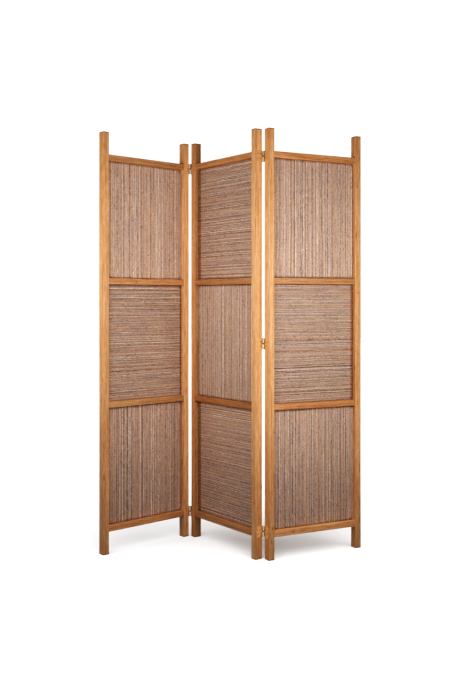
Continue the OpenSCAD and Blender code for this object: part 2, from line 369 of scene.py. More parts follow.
def oiled_teak(name, pale, deep, roughness):
    material, tree, skin = new_finish(name)
    place = own(tree, "place_in_log", "Vector")
    part = put(tree, "ShaderNodeGroup", {0: place}, node_tree=TEAK).outputs
    tone = sum_of(tree, "MULTIPLY", part["Rings"], RING_SHARE)
    for pattern, (start, least, most) in GRAIN_SHARES.items():
        tone = sum_of(tree, "ADD", tone, spread(tree, part[pattern], start, 1 - start, least, most))
    colour = blended(tree, spread(tree, tone, 0.15, 1.2), (*pale, 1), (*deep, 1))
    dark = (*(DARKER * c for c in deep), 1)
    colour = blended(tree, sum_of(tree, "MULTIPLY", part["Pores"], PORE_SHARE), colour, dark)
    colour = blended(tree, sum_of(tree, "MULTIPLY", part["Knots"], PIN_KNOT_SHARE), colour, dark)
    colour = with_knot(tree, colour, part["Flecks"], deep, dark)
    colour = with_worn_edges(tree, colour, part["Streaks"], deep)
    colour = blended(tree, 1.0, colour, own(tree, "board_tone_and_shade", "Color"), "MULTIPLY")

    lift = sum_of(tree, "SUBTRACT", sum_of(tree, "MULTIPLY", part["Fibres"], 0.5), part["Pores"])
    fill(tree, skin, {
        "Base Color": colour,
        "Roughness": spread(tree, part["Fibres"], 0.3, 0.7, roughness - 0.05, roughness + 0.08),
        "Specular IOR Level": 0.45,
        "Normal": bumped(tree, lift, 0.5, 0.12 * MM)})
    return material


TIMBER = {
    "post_wood": oiled_teak("post_teak", (0.97, 0.57, 0.29), (0.60, 0.245, 0.086), 0.46),
    "rail_wood": oiled_teak("rail_teak", (0.82, 0.44, 0.205), (0.47, 0.190, 0.071), 0.44),
    "bead_wood": oiled_teak("bead_teak", (0.62, 0.36, 0.16), (0.38, 0.18, 0.07), 0.55),
}
print("timber finishes:", ", ".join(TIMBER))

# %% [markdown]
# ## Dressing the timber
#
# The frame's meshes are loose triangles, which shade flat and can't take an edge. Each piece of timber
# is copied, its doubled corners are merged and its flats joined into whole faces. The beads get
# eased edges of their own, as the posts and rails already have in the frame. Weighted normals then keep
# the broad faces flat while the eased edges shade round.

# %% Copy a node as clean mesh
FLAT_ANGLE = math.radians(1)
SHARP_ANGLE = math.radians(50)
BEAD_EASE = 1.6 * MM
BRASS_EASE = 0.25 * MM
EASE_STEPS = 2
SAME_CORNER = 0.002 * MM


def merged_copy(node):
    """A node's mesh with its doubled corners merged and its flat faces whole."""
    work = bmesh.new()
    work.from_mesh(frame["nodes"][node].data)
    bmesh.ops.remove_doubles(work, verts=work.verts, dist=SAME_CORNER)
    bmesh.ops.dissolve_limit(work, angle_limit=FLAT_ANGLE, verts=work.verts, edges=work.edges)
    bmesh.ops.recalc_face_normals(work, faces=work.faces)
    mesh = bpy.data.meshes.new(node + "_dressed")
    work.to_mesh(mesh)
    work.free()
    return mesh


def settled(piece):
    """The piece with its modifiers applied."""
    graph = bpy.context.evaluated_depsgraph_get()
    mesh = bpy.data.meshes.new_from_object(piece.evaluated_get(graph), depsgraph=graph)
    piece.modifiers.clear()
    piece.data = mesh
    return piece


def dressed(node, ease=0.0):
    """A copy of a node with eased edges, shaded so that flats stay flat."""
    piece = link_to_scene(node + "_dressed", merged_copy(node))
    if ease:
        bevel = piece.modifiers.new("ease", "BEVEL")
        bevel.width = ease
        bevel.segments = EASE_STEPS
        bevel.limit_method = "ANGLE"
        bevel.angle_limit = SHARP_ANGLE
        settled(piece)
    piece.data.shade_smooth()
    piece.data.set_sharp_from_angle(angle=SHARP_ANGLE)
    weigh = piece.modifiers.new("flat_faces", "WEIGHTED_NORMAL")
    weigh.keep_sharp = True
    return settled(piece)


print("edges eased by", BEAD_EASE / MM, "mm on beads and", BRASS_EASE / MM, "mm on brass")

# %% [markdown]
# ## A board's place in its log
#
# No two boards of the screen were sawn from the same part of a tree. A picture of wood could be shifted
# for each board, but its joins would show on the edges. Here each board carries a random place in the
# log, with Z along its longest side, and the finish reads the wood there. It also carries where its
# edges are, so that wear can follow them, and a few front faces carry a knot.

# %% Tell each board its place in the log
LOG_NEAR, LOG_FAR, LOG_LONG = 0.05, 0.16, 3.0
TONE_WANDER = 0.04

# Each knot lies on its board's front face: how far up or across, and how far along.
KNOTS = {
    "middle_right_post": (4, -663), "right_inner_post": (5, -767), "right_outer_post": (-5, 680),
    "right_bottom_rail": (1, -110), "left_upper_rail": (-2, -60), "middle_left_post": (3, -330),
}
NO_KNOT = (0, 0, 10)


def boards_of(mesh):
    """The vertex numbers of each separate board in a mesh."""
    work = bmesh.new()
    work.from_mesh(mesh)
    left = set(work.verts)
    boards = []
    while left:
        edge = [left.pop()]
        board = []
        while edge:
            vertex = edge.pop()
            board.append(vertex.index)
            near = {link.other_vert(vertex) for link in vertex.link_edges} & left
            left -= near
            edge.extend(near)
        boards.append(sorted(board))
    work.free()
    return sorted(boards)


def write_vectors(mesh, name, values):
    """Writes a vector for each vertex as a named attribute."""
    written = mesh.attributes.new(name, "FLOAT_VECTOR", "POINT")
    written.data.foreach_set("vector", np.asarray(values, np.float32).ravel())


def sawn(piece, panel, tone, knot):
    """Writes the attributes that the teak finish reads."""
    mesh = piece.data
    back = spaces[panel].inverted()
    local = np.array([back @ vertex.co for vertex in mesh.vertices])
    place, centred, half_sizes, knots, tones_and_shade = (np.zeros_like(local) for _ in range(5))
    light, pale = tone
    for board in boards_of(mesh):
        points = local[board]
        order = np.argsort(np.ptp(points, axis=0))
        angle, radius = chance.uniform(0, math.tau), chance.uniform(LOG_NEAR, LOG_FAR)
        start = (radius * math.cos(angle), radius * math.sin(angle), chance.uniform(0, LOG_LONG))
        low, high = points.min(axis=0), points.max(axis=0)
        centred[board] = (points - (low + high) / 2)[:, order]
        half_sizes[board] = ((high - low) / 2)[order]
        place[board] = centred[board] + start
        knots[board] = (knot[0] * MM, -half_sizes[board[0]][1], knot[1] * MM) if knot else NO_KNOT
        # Painted light and shade: each board's lightness also stands in for how light falls on it.
        board_light_and_shade = light * chance.uniform(1 - TONE_WANDER, 1 + TONE_WANDER)
        tones_and_shade[board] = board_light_and_shade * np.array((1, 1 + pale / 2, 1 + pale))
    write_vectors(mesh, "place_in_log", place)
    write_vectors(mesh, "in_board", centred)
    write_vectors(mesh, "half_board", half_sizes)
    write_vectors(mesh, "knot", knots)
    write_vectors(mesh, "board_tone_and_shade", tones_and_shade)


def fit(piece, body, node):
    """The piece stands for a node: it rides on the node's body, and the node is hidden."""
    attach(piece, body)
    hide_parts(node)


print("knots on", len(KNOTS), "boards")

# %% [markdown]
# ## Board by board
#
# Boards that are oiled on the same day still differ, as each takes the oil in its own way. The tones
# are given by name: how light the board is, and how pale, which means less orange. They are partly each
# board's own tone and partly painted light and shade, set board by board for how light falls on each,
# which is why the middle panel's rails are darkest.

# %% Dress posts, rails and beads
# Painted light and shade: partly each board's own tone, partly set for how light falls on it.
BOARD_TONES_AND_SHADE = {
    "left_outer_post": (0.97, 0.0), "left_inner_post": (1.22, 0.16),
    "left_top_rail": (1.02, 0.12), "left_lower_rail": (0.97, 0.2), "left_bottom_rail": (1.1, 0.0),
    "middle_left_post": (0.9, 0.04), "middle_right_post": (1.04, 0.16),
    "middle_top_rail": (0.9, 0.0), "middle_upper_rail": (0.72, 0.0),
    "middle_lower_rail": (0.68, -0.1), "middle_bottom_rail": (0.8, 0.0),
    "right_outer_post": (1.03, 0.04),
    "right_top_rail": (1.12, 0.0), "right_upper_rail": (0.85, 0.0),
    "right_lower_rail": (1.02, -0.1), "right_bottom_rail": (1.4, 0.1),
}
PLAIN_TONE = (1.0, 0.0)


def dress_timber(node, panel, slot, ease=0.0):
    piece = dressed(node, ease)
    sawn(piece, panel, BOARD_TONES_AND_SHADE.get(node, PLAIN_TONE), KNOTS.get(node))
    piece.data.materials.clear()
    piece.data.materials.append(TIMBER[slot])
    fit(piece, PANELS[panel][0], node)
    return piece


timber = []
for panel, (body, left_post, right_post) in PANELS.items():
    for node in (left_post, right_post):
        timber.append(dress_timber(node, panel, "post_wood"))
    for row in ("top", "upper", "lower", "bottom"):
        timber.append(dress_timber(f"{panel}_{row}_rail", panel, "rail_wood"))
    for row in FIELDS:
        timber.append(dress_timber(f"{panel}_{row}_beads", panel, "bead_wood", BEAD_EASE))
print(len(timber), "pieces of timber,", sum(len(piece.data.polygons) for piece in timber), "faces")

# %% [markdown]
# ## Brass and steel
#
# The hinges are small brass butt hinges with two knuckles. Brass that has been handled is satin, with
# soft brown patches where it has dulled, so its roughness and colour wander together. The
# leaves and pins are copied like the timber, with a hair of easing so that their edges catch light.
# The screws and nails are right as the frame has them and only take a finish.

# %% Make the metal finishes
# Painted shade: the dark brown laid on the brass by the barrel and by the split between knuckles.
HINGE_SHADE_BROWN = (0.075, 0.045, 0.028)
PATCH_SCALE, SCRATCH_SCALE = 160, (1800, 1800, 90)


def from_pin(tree, place):
    """The way to a place from the middle of its hinge's pin."""
    return vector_math(tree, "SUBTRACT", place, own(tree, "pin", "Vector")).outputs[0]


def beside_barrel(tree, place):
    """How much painted shade darkens a plate, in the corner by the barrel."""
    level = vector_math(tree, "MULTIPLY", from_pin(tree, place), (1, 1, 0)).outputs[0]
    reach = vector_math(tree, "LENGTH", level).outputs["Value"]
    return spread(tree, reach, 5 * MM, 8 * MM, 0.85, 0.0)


def by_split(tree, place):
    """How much painted shade darkens a barrel, by the split between its knuckles."""
    height = put(tree, "ShaderNodeSeparateXYZ", {0: from_pin(tree, place)}).outputs[2]
    return spread(tree, sum_of(tree, "ABSOLUTE", height), 1.2 * MM, 3.5 * MM, 0.85, 0.0)


def aged_metal(name, bright, dull, roughness, hinge_shade=None):
    material, tree, skin = new_finish(name)
    place = put(tree, "ShaderNodeTexCoord").outputs["Object"]
    patches = noise(tree, place, scale=PATCH_SCALE, detail=4, roughness=0.6)
    scratches = noise(tree, stretched(tree, place, SCRATCH_SCALE), detail=2)
    dulled = spread(tree, patches, 0.42, 0.68)
    colour = blended(tree, dulled, (*bright, 1), (*dull, 1))
    # Painted shade: darkens the brass where the gaps by the barrel and between the knuckles lie in shade.
    if hinge_shade:
        colour = blended(tree, hinge_shade(tree, place), colour, (*HINGE_SHADE_BROWN, 1))
    shine = sum_of(tree, "ADD", spread(tree, patches, 0.35, 0.7, roughness, roughness + 0.2),
                   sum_of(tree, "MULTIPLY", scratches, 0.08))
    fill(tree, skin, {
        "Base Color": colour, "Roughness": shine, "Metallic": 1.0,
        "Normal": bumped(tree, scratches, 0.3, 0.05 * MM)})
    return material


hinge_brass = aged_metal("hinge_brass", (0.76, 0.62, 0.46), (0.48, 0.36, 0.24), 0.42, by_split)
leaf_brass = aged_metal("leaf_brass", (0.73, 0.48, 0.265), (0.65, 0.41, 0.215), 0.55, beside_barrel)
screw_brass = aged_metal("screw_brass", (0.40, 0.26, 0.15), (0.22, 0.14, 0.08), 0.40)
nail_steel = aged_metal("nail_steel", (0.58, 0.56, 0.53), (0.34, 0.30, 0.26), 0.36)
print("metals:", hinge_brass.name, leaf_brass.name, screw_brass.name, nail_steel.name)

# %% [markdown]
# ## Hinges, screws and nails
#
# A hinge leaf is a plate with one edge rolled round the pin. The rolled knuckles are worn bright, and
# the plate is dull. Painted shade darkens the plate in the corner by the barrel, and the barrel by the
# split between its knuckles, where the gaps lie in shade. A mask drawn on the surface could mark these
# places. The distance from the pin does it with no mask, so each piece of a hinge carries its pin's middle.

# %% Dress the hinges, screws and nails
KNUCKLE_REACH = 4.6 * MM


def metal_of(node):
    if node.endswith("_screws"):
        return screw_brass
    return nail_steel if node.endswith("_nails") else None


def mark_pin(piece, pin):
    """Writes the middle of the hinge's pin, which the painted shade on the brass is measured from."""
    write_vectors(piece.data, "pin", [tuple(middle_of(pin))] * len(piece.data.vertices))


def mark_knuckles(piece, pin):
    """A hinge leaf's knuckles take the bright brass, its plate the dull brass."""
    axis = middle_of(pin).xy
    piece.data.materials.append(leaf_brass)
    for polygon in piece.data.polygons:
        away = (polygon.center.xy - axis).length
        polygon.material_index = int(away > KNUCKLE_REACH)


hinges = 0
for node, carried in frame["nodes"].items():
    if node.endswith(("_leaf", "_pin")):
        piece = dressed(node, BRASS_EASE)
        piece.data.materials.clear()
        piece.data.materials.append(hinge_brass)
        pin = node if node.endswith("_pin") else node.rsplit("_", 2)[0] + "_pin"
        mark_pin(piece, pin)
        if node != pin:
            mark_knuckles(piece, pin)
        fit(piece, carried["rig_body"], node)
        hinges += 1
    elif metal_of(node):
        for place in carried.material_slots:
            place.material = metal_of(node)
print(hinges, "hinge pieces dressed")

# %% [markdown]
# ## The strand mats: the finish
#
# The mats are woven from dried plant strands. No two strands match: some are cream, some tan, some a
# cool mauve-grey, a few are dark brown, and each changes a little along its length. Each strand
# carries its own random tone, so the finish is one ramp of those colours, with long faint streaks and
# small dark nodes added. Painted shade darkens the level strands in a brown band at their end beside the
# far post, and all strands near the mat's border, where the frame's recess shades them.

# %% Make the strand finish
STRAND_COLOURS = (
    (0.00, (0.150, 0.088, 0.056)),
    (0.18, (0.310, 0.197, 0.136)),
    (0.38, (0.480, 0.322, 0.234)),
    (0.55, (0.590, 0.416, 0.315)),
    (0.78, (0.730, 0.550, 0.440)),
    (1.00, (0.880, 0.750, 0.635)),
)
MAUVE = (0.470, 0.375, 0.395)
TAN = (0.720, 0.405, 0.198)
NODE_BROWN = (0.075, 0.038, 0.022)
# Painted shade: the colour multiplied into the strands' end beside the far post.
FAR_POST_SHADE = (0.66, 0.52, 0.42)
BORDER_SHADE = 0.62
# How often each part of the pattern repeats in a metre: across, through and along a strand.
STRAND_SCALES = {
    "along": (30, 30, 9), "streaks": (900, 900, 22), "mottle": (420, 420, 150),
    "dye": (260, 260, 70), "spots": (160, 160, 28),
}


def dried_strand():
    material, tree, skin = new_finish("dried_strand")
    lie, which = own(tree, "lie", "Vector"), own(tree, "which")
    at = {name: stretched(tree, lie, scale) for name, scale in STRAND_SCALES.items()}
    along = noise(tree, at["along"], detail=3, roughness=0.6, w=which)
    streaks = noise(tree, at["streaks"], detail=3, roughness=0.6, w=which)
    tone = sum_of(tree, "ADD", own(tree, "tone"), spread(tree, along, 0.25, 0.75, -0.20, 0.20))
    tone = sum_of(tree, "ADD", tone, spread(tree, streaks, 0.3, 0.7, -0.13, 0.13))
    mottle = noise(tree, at["mottle"], detail=2)
    tone = sum_of(tree, "ADD", tone, spread(tree, mottle, 0.3, 0.7, -0.17, 0.17), clamp=True)
    colour = graded(tree, tone, STRAND_COLOURS)

    tint = sum_of(tree, "ADD", own(tree, "tint"), spread(tree, along, 0.3, 0.7, -0.2, 0.2))
    dye = noise(tree, at["dye"], detail=2)
    tint = sum_of(tree, "ADD", tint, spread(tree, dye, 0.35, 0.65, -0.3, 0.3))
    colour = blended(tree, spread(tree, tint, 0.40, 0.10, 0.0, 0.75), colour, (*MAUVE, 1))
    colour = blended(tree, spread(tree, tint, 0.72, 0.95, 0.0, 0.70), colour, (*TAN, 1))

    cells = {"Vector": at["spots"], "Scale": 1.0}
    spots = put(tree, "ShaderNodeTexVoronoi", cells).outputs["Distance"]
    node_marks = spread(tree, spots, 0.10, 0.18, 0.65, 0.0)
    colour = blended(tree, node_marks, colour, (*NODE_BROWN, 1))
    # Painted shade: the strands turn darker and browner at their end beside the far post.
    far_end_shaded = spread(tree, own(tree, "from_far_end_shade"), 0.8 * MM, -0.8 * MM)
    colour = blended(tree, far_end_shaded, colour, (*FAR_POST_SHADE, 1), "MULTIPLY")
    # Painted shade: the strands darken near the mat's border, over a ragged width of a few millimetres.
    shade_reach = spread(tree, streaks, 0.3, 0.7, 3 * MM, 13 * MM)
    border_shaded = spread(tree, own(tree, "from_border"), 1 * MM, shade_reach, BORDER_SHADE, 1.0)
    shade = sum_of(tree, "MULTIPLY", own(tree, "shade"), border_shaded)
    colour = blended(tree, 1.0, colour, vector_of(tree, shade, shade, shade), "MULTIPLY")

    fill(tree, skin, {
        "Base Color": colour,
        "Roughness": spread(tree, streaks, 0.3, 0.7, 0.58, 0.78),
        "Specular IOR Level": 0.3,
        "Normal": bumped(tree, streaks, 0.6, 0.25 * MM)})
    return material


strand_finish = dried_strand()
print("a strand runs through", len(STRAND_COLOURS), "colours")

# %% [markdown]
# ## The thread
#
# The thread is thin spun cotton, dyed brown and faded in patches. Its twist is far too fine to model at
# this size, so the finish draws it: fine dark plies for the colour, which also roughen the surface.

# %% Make the thread finish
THREAD_BROWN, THREAD_FADED, THREAD_PLY = (0.36, 0.24, 0.16), (0.50, 0.36, 0.26), (0.22, 0.14, 0.09)
PLY_SCALE, FADE_SCALE = 1400, 25


def spun_thread():
    material, tree, skin = new_finish("spun_thread")
    place = put(tree, "ShaderNodeTexCoord").outputs["Object"]
    plies = noise(tree, place, scale=PLY_SCALE, detail=2)
    fade = noise(tree, place, scale=FADE_SCALE, detail=2)
    colour = blended(tree, spread(tree, fade, 0.3, 0.7), (*THREAD_BROWN, 1), (*THREAD_FADED, 1))
    colour = blended(tree, spread(tree, plies, 0.4, 0.7, 0.0, 0.5), colour, (*THREAD_PLY, 1))
    fill(tree, skin, {
        "Base Color": colour,
        "Roughness": spread(tree, fade, 0.3, 0.7, 0.75, 0.85),
        "Normal": bumped(tree, plies, 0.5, 0.1 * MM)})
    return material


thread_finish = spun_thread()
print("finishes of the mats:", strand_finish.name, thread_finish.name)

# %% [markdown]
# ## The strand mats: the weave
#
# A mat is a row of strands held by fine threads that pass over one strand and under the next. A flat
# sheet with a striped picture would look like wallpaper at the edges and from behind, so the weave is
# real geometry. It follows one rule, repeated some hundred times, which is what Geometry Nodes are for.
# The tree lays strands of random widths side by side, gives each one its own length, swelling and
# drift, and strings the threads through the middles of the same strands. Each mat is made in its own
# space, strands upright, and turned where they run level.

# %% Name the sizes that the weave takes
weave = bpy.data.node_groups.new("strand_weave", "GeometryNodeTree")
WEAVE_SIZES = {
    "Across": "Float",
    "Along": "Float",
    "Strand count": "Int",
    "Strand depth": "Float",
    "Ragged": "Float",
    "Far end shade": "Float",
    "Sway": "Float",
    "Thread gap": "Float",
    "Thread radius": "Float",
    "Turn": "Float",
    "Shade": "Float",
    "Seed": "Int",
    "Strand finish": "Material",
    "Thread finish": "Material",
}
weave_ids = {}
for label, kind in WEAVE_SIZES.items():
    socket = weave.interface.new_socket(label, in_out="INPUT", socket_type="NodeSocket" + kind)
    weave_ids[label] = socket.identifier
weave.interface.new_socket("Mat", in_out="OUTPUT", socket_type="NodeSocketGeometry")
given = put(weave, "NodeGroupInput").outputs
print("the weave takes", ", ".join(WEAVE_SIZES))

# %% [markdown]
# ## Strands, side by side
#
# Real strands differ in width, and where they touch they leave no gap. Equal spacing with random widths
# would leave gaps and overlaps. So each strand draws a share of the mat's width, and a running total of
# the shares gives it its place. Light strands tend to lie beside dark ones, which keeps the mat lively.

# %% Lay the strands side by side
STRAND_SIDES = 6
STRAND_STEPS = 16
NARROWEST = 0.65
MOSTLY_NARROW = 1.6


def geo(kind, sockets=None, **settings):
    """A Geometry node of the weave: its first output."""
    return put(weave, "GeometryNode" + kind, sockets, **settings).outputs[0]


def plus(a, b):
    return sum_of(weave, "ADD", a, b)


def minus(a, b):
    return sum_of(weave, "SUBTRACT", a, b)


def times(a, b):
    return sum_of(weave, "MULTIPLY", a, b)


def half(value):
    return times(value, 0.5)


def seed_for(salt):
    return plus(given["Seed"], float(salt))


def drawn(low, high, salt):
    """A random value for each element, its seed shifted by salt."""
    sockets = {2: low, 3: high, 8: seed_for(salt)}
    return put(weave, "FunctionNodeRandomValue", sockets, data_type="FLOAT").outputs[1]


def against_next(salt):
    """A random value that swings against that of the next strand, so that light and dark alternate."""
    seed, place = seed_for(salt), geo("InputIndex")
    this, after = (put(weave, "FunctionNodeRandomValue", {2: 0.0, 3: 1.0, 7: number, 8: seed},
                       data_type="FLOAT").outputs[1] for number in (place, plus(place, 1.0)))
    return spread(weave, minus(this, after), -1.0, 1.0)


def noted(geometry, name, value, domain="POINT", kind="FLOAT"):
    """Stores a named attribute."""
    sockets = {"Geometry": geometry, "Name": name, "Value": value}
    return geo("StoreNamedAttribute", sockets, data_type=kind, domain=domain)


def named(name, kind="FLOAT"):
    return geo("InputNamedAttribute", {"Name": name}, data_type=kind)


def moved(geometry, offset):
    return geo("SetPosition", {"Geometry": geometry, "Offset": offset})


points = geo("Points", {"Count": given["Strand count"]})
share = plus(sum_of(weave, "POWER", drawn(0.0, 1.0, 1), MOSTLY_NARROW), NARROWEST)
points = noted(points, "share", share)
running = put(weave, "GeometryNodeAccumulateField", {0: named("share")}, data_type="FLOAT").outputs
scale_up = sum_of(weave, "DIVIDE", given["Across"], running["Total"])
width = times(named("share"), scale_up)
right_edge = times(running["Leading"], scale_up)
centre = minus(minus(right_edge, half(width)), half(given["Across"]))
points = noted(points, "width", width)
row = geo("SetPosition", {"Geometry": points, "Position": vector_of(weave, centre)})
print("strands have", STRAND_SIDES, "sides and", STRAND_STEPS, "steps")

# %% [markdown]
# ## A strand's length and body
#
# A strand is a thin six-sided rod, flatter than it is wide, and not every one reaches the frame. One rod
# is built and placed on every point, stretched to that strand's width and length, which is far lighter
# than modelling some hundred rods. Each one keeps its own random tone, tint and number.

# %% Give each strand its length and body
RARELY_SHORT = 4.0
LEAN = 0.10
OVERLAP = 1.32
THINNEST = 0.75


def ragged_cut(salt):
    """How far a strand stops short: little for most, more for a few."""
    return times(sum_of(weave, "POWER", drawn(0.0, 1.0, salt), RARELY_SHORT), given["Ragged"])


low_cut, high_cut = ragged_cut(2), ragged_cut(3)
length = minus(given["Along"], plus(low_cut, high_cut))
rise = half(minus(low_cut, high_cut))
lean = times(drawn(-LEAN, LEAN, 4), given["Strand depth"])
lifted = moved(row, vector_of(weave, 0.0, lean, rise))

line = geo("CurvePrimitiveLine", {"Start": (0, 0, -0.5), "End": (0, 0, 0.5)})
stepped = geo("ResampleCurve", {"Curve": line, "Count": STRAND_STEPS + 1})
ring = geo("CurvePrimitiveCircle", {"Resolution": STRAND_SIDES, "Radius": 0.5})
rod = geo("CurveToMesh", {"Curve": stepped, "Profile Curve": ring, "Fill Caps": True})
body_width = times(named("width"), OVERLAP)
body_depth = times(given["Strand depth"], drawn(THINNEST, 1.0, 5))
strands = geo("InstanceOnPoints", {
    "Points": lifted, "Instance": rod, "Scale": vector_of(weave, body_width, body_depth, length)})

strands = noted(strands, "middle", geo("InputPosition"), "INSTANCE", "FLOAT_VECTOR")
strands = noted(strands, "tone", against_next(6), "INSTANCE")
strands = noted(strands, "tint", against_next(7), "INSTANCE")
strands = noted(strands, "which", drawn(0.0, 60.0, 8), "INSTANCE")
strands = geo("RealizeInstances", {0: strands})
print("strands overlap to", OVERLAP, "times their share of the width")

# %% [markdown]
# ## Swelling and drift
#
# Dried strands are never straight: they swell, thin out and wander. Bending each rod by hand isn't
# possible, but noise that is read along its length, with the strand's own number as a seed, bends
# every rod in its own way and leaves its neighbours alone.

# %% Let each strand swell and drift
SWELL = (0.80, 1.12)
DRIFT, LIFT = 1.2 * MM, 0.5 * MM
BENDS = {"swell": 16, "drift": 5, "lift": 7}


def parts_of(vector):
    return put(weave, "ShaderNodeSeparateXYZ", {0: vector}).outputs


here = geo("InputPosition")
x, y, z = parts_of(here)
middle_x = parts_of(named("middle", "FLOAT_VECTOR"))[0]
line_up = vector_of(weave, 0.0, 0.0, z)


def waver(bend, seed_shift):
    """Noise along a strand. The strand's own number makes it differ from its neighbours."""
    seed = plus(named("which"), seed_shift)
    return noise(weave, line_up, scale=BENDS[bend], detail=1, w=seed)


swell = spread(weave, waver("swell", 0.0), 0.25, 0.75, *SWELL)
drift = spread(weave, waver("drift", 70.0), 0.0, 1.0, -DRIFT, DRIFT)
lift = spread(weave, waver("lift", 140.0), 0.0, 1.0, -LIFT, LIFT)
new_x = plus(plus(middle_x, times(minus(x, middle_x), swell)), drift)
new_y = plus(times(y, swell), lift)
strands = geo("SetPosition", {"Geometry": strands, "Position": vector_of(weave, new_x, new_y, z)})
strands = geo("SetShadeSmooth", {"Geometry": strands})
print("a strand drifts by up to", DRIFT / MM, "mm each way")

# %% [markdown]
# ## Threads, over and under
#
# The thread passes in front of one strand and behind the next. The points of the strands already lie in
# order, so moving every second one forward and the rest back gives the thread's path, and a smooth
# curve through them is the thread. The next thread is turned half round, so it passes the other way.

# %% String the threads over and under
THREAD_SIDES = 4
THREAD_BENDS = 2
THREAD_SHIFT = 0.6 * MM

number = geo("InputIndex")
odd = sum_of(weave, "MODULO", number, 2.0)
side = minus(times(odd, 2.0), 1.0)
reach = plus(half(given["Strand depth"]), given["Thread radius"])
bent = moved(row, vector_of(weave, 0.0, times(side, reach), 0.0))
thread = geo("PointsToCurves", {"Points": bent})
thread = geo("CurveSplineType", {"Curve": thread}, spline_type="CATMULL_ROM")
thread = geo("SetSplineResolution", {"Geometry": thread, "Resolution": THREAD_BENDS})
section = geo("CurvePrimitiveCircle", {"Resolution": THREAD_SIDES, "Radius": given["Thread radius"]})
thread = geo("CurveToMesh", {"Curve": thread, "Profile Curve": section, "Fill Caps": True})

thread_count = sum_of(weave, "ROUND", sum_of(weave, "DIVIDE", given["Along"], given["Thread gap"]))
step = sum_of(weave, "DIVIDE", given["Along"], thread_count)
level = minus(times(plus(number, 0.5), step), half(given["Along"]))
level = plus(level, drawn(-THREAD_SHIFT, THREAD_SHIFT, 9))
places = geo("Points", {"Count": thread_count})
places = geo("SetPosition", {"Geometry": places, "Position": vector_of(weave, 0.0, 0.0, level)})
half_turn = vector_of(weave, times(odd, math.pi))
flipped = put(weave, "FunctionNodeEulerToRotation", {0: half_turn}).outputs[0]
threads = geo("InstanceOnPoints", {"Points": places, "Instance": thread, "Rotation": flipped})
threads = geo("RealizeInstances", {0: threads})
threads = geo("SetShadeSmooth", {"Geometry": threads})
threads = noted(threads, "of_thread", True, "FACE", "BOOLEAN")
print("threads have", THREAD_SIDES, "sides, and bend", THREAD_BENDS, "times over each strand")

# %% [markdown]
# ## Sway, marks and turn
#
# A mat is soft, so its strands lean together in slow waves, while its borders stay by the frame. The
# marks tell the finish how far a point is from the band of painted shade at the far end, and from the
# border, which takes painted shade for the frame's recess. The tree ends with one realized mesh and its
# two finishes.

# %% Sway the whole mat, mark it and turn it
WAVES = (5.0, 0.0, 4.0)
HELD_BORDER = 45 * MM

both = put(weave, "GeometryNodeJoinGeometry")
for part in (threads, strands):
    weave.links.new(part, both.inputs[0])
marked = noted(both.outputs[0], "lie", here, "POINT", "FLOAT_VECTOR")
# Painted shade mark: how far a point lies from the shaded band at the far end.
marked = noted(marked, "from_far_end_shade", minus(minus(half(given["Along"]), z), given["Far end shade"]))
marked = noted(marked, "shade", given["Shade"])

# Painted shade mark: how far a point is from the mat's border by the frame.
from_side = minus(half(given["Across"]), sum_of(weave, "ABSOLUTE", x))
from_tip = minus(half(given["Along"]), sum_of(weave, "ABSOLUTE", z))
marked = noted(marked, "from_border", sum_of(weave, "MINIMUM", from_side, from_tip))

waves = vector_math(weave, "MULTIPLY", here, WAVES).outputs[0]
slow = noise(weave, waves, detail=1, w=given["Seed"])
free = spread(weave, from_side, 0.0, HELD_BORDER)
push = times(times(minus(slow, 0.5), free), times(given["Sway"], 2.0))
swayed = moved(marked, vector_of(weave, push))
turn = put(weave, "FunctionNodeEulerToRotation", {0: vector_of(weave, 0.0, given["Turn"], 0.0)}).outputs[0]
whole = geo("Transform", {"Geometry": swayed, "Rotation": turn})
whole = geo("RealizeInstances", {0: whole})
whole = geo("SetMaterial", {"Geometry": whole, "Material": given["Strand finish"]})
whole = geo("SetMaterial", {
    "Geometry": whole, "Selection": named("of_thread", "BOOLEAN"), "Material": given["Thread finish"]})
put(weave, "NodeGroupOutput", {0: whole})
print("the weave tree has", len(weave.nodes), "nodes")

# %% [markdown]
# ## The strand mats: one for each field
#
# The tree is run once for each of the nine fields, with its sizes read from the frame's own mat, and
# the result is kept as a plain mesh in its place on the panel. The strands run upright in some fields
# and level in others, in turn, which gives the screen its chequered look.

# %% Weave the nine mats
UPRIGHT_PITCH, LEVEL_PITCH = 3.3 * MM, 2.9 * MM
STRAND_DEPTH = 2.6 * MM
THREAD_RADIUS = 0.32 * MM
THREAD_GAP = 14 * MM
RAGGED = 9 * MM
SWAY = 3.5 * MM
FIRST_SEED, SEED_STEP = 100, 10
# How far the painted shade beside the far post reaches into each panel's level strands.
LEVEL_FAR_END_SHADE = {"left": 9 * MM, "middle": 21 * MM, "right": 13 * MM}
UPRIGHT, TO_RIGHT, TO_LEFT = 0.0, math.radians(90), math.radians(-90)
# For each field of a panel: how its strands lie, and how light its mat is, partly its own tone and
# partly painted light and shade set for how light falls on that field.
LAY = {
    "left": ((UPRIGHT, 1.15), (TO_RIGHT, 0.99), (UPRIGHT, 1.15)),
    "middle": ((TO_LEFT, 0.95), (UPRIGHT, 1.03), (TO_LEFT, 1.09)),
    "right": ((UPRIGHT, 1.17), (TO_RIGHT, 1.0), (UPRIGHT, 1.22)),
}


def woven(name, sizes):
    """Runs the weave with these sizes and returns the mat's plain mesh."""
    loom = link_to_scene(name, bpy.data.meshes.new(name))
    maker = loom.modifiers.new("weave", "NODES")
    maker.node_group = weave
    for label, value in sizes.items():
        maker[weave_ids[label]] = value
    return settled(loom)


